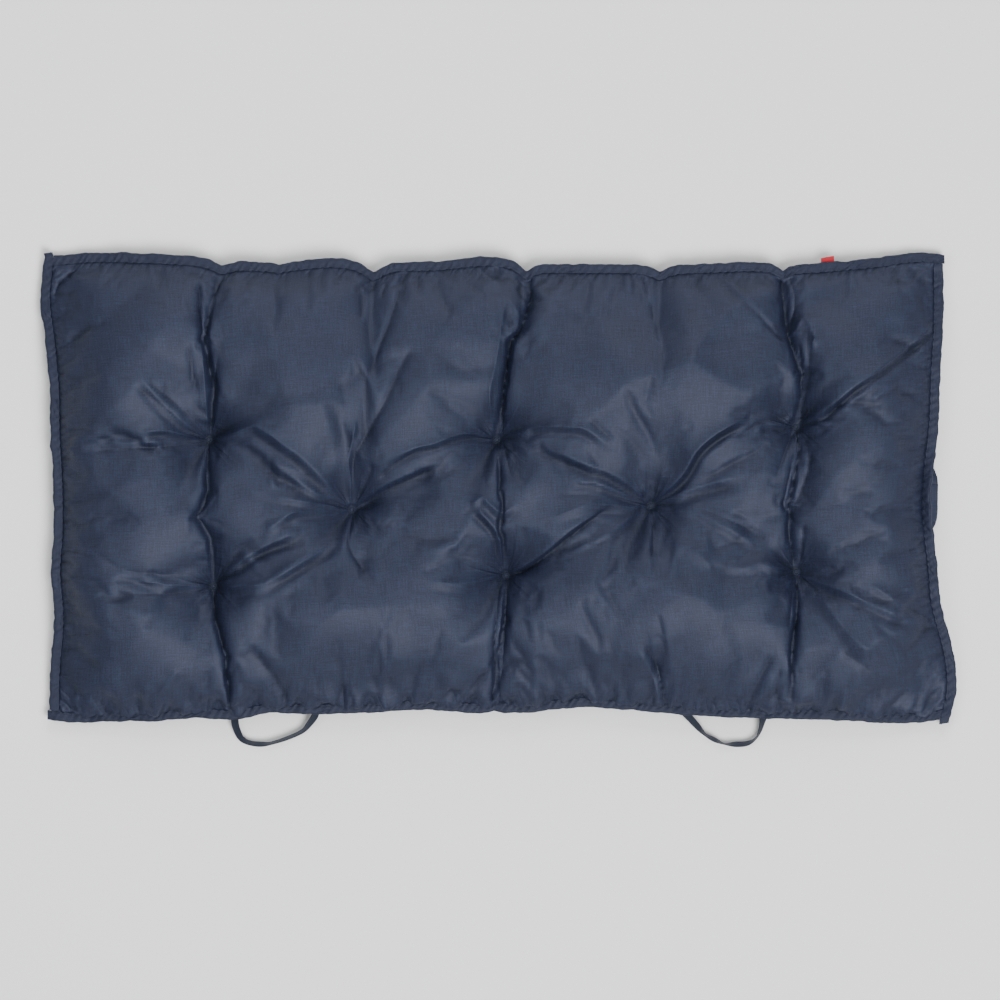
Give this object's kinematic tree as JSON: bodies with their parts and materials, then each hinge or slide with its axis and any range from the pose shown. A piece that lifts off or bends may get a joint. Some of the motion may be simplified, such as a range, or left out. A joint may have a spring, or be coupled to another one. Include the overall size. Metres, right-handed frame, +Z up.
{
  "type": "pallet cushion",
  "caption": "Long flat seat cushion with a tufted, creased crown, a rim bound in folded tape and two flat tie loops along the front edge.",
  "frame": {"origin": "middle of the whole piece seen from above, straps included, on the surface it lies on", "axes": "+X along the long side, towards the curled end; +Y from the front rim with the tie loops to the back rim; +Z up out of the tufted face"},
  "size_m": [1.1916, 0.6442, 0.093],
  "materials": {
    "navy cover": "satin plain weave",
    "navy tape": "matte woven tape",
    "navy thread": "matte thread",
    "red label": "matte woven tape"
  },
  "bodies": {
    "root": {"cushion_body": "navy cover", "binding_back": "navy tape", "binding_front": "navy tape", "binding_left": "navy tape", "binding_right": "navy tape", "strap_loop_left": "navy tape", "strap_loop_right": "navy tape", "seam_label": "red label", "tuft_top_1": "navy thread", "tuft_top_2": "navy thread", "tuft_top_3": "navy thread", "tuft_top_4": "navy thread", "tuft_top_5": "navy thread", "tuft_top_6": "navy thread", "tuft_top_7": "navy thread", "tuft_top_8": "navy thread", "tuft_base_1": "navy thread", "tuft_base_2": "navy thread", "tuft_base_3": "navy thread", "tuft_base_4": "navy thread", "tuft_base_5": "navy thread", "tuft_base_6": "navy thread", "tuft_base_7": "navy thread", "tuft_base_8": "navy thread"}
  },
  "joints": []
}
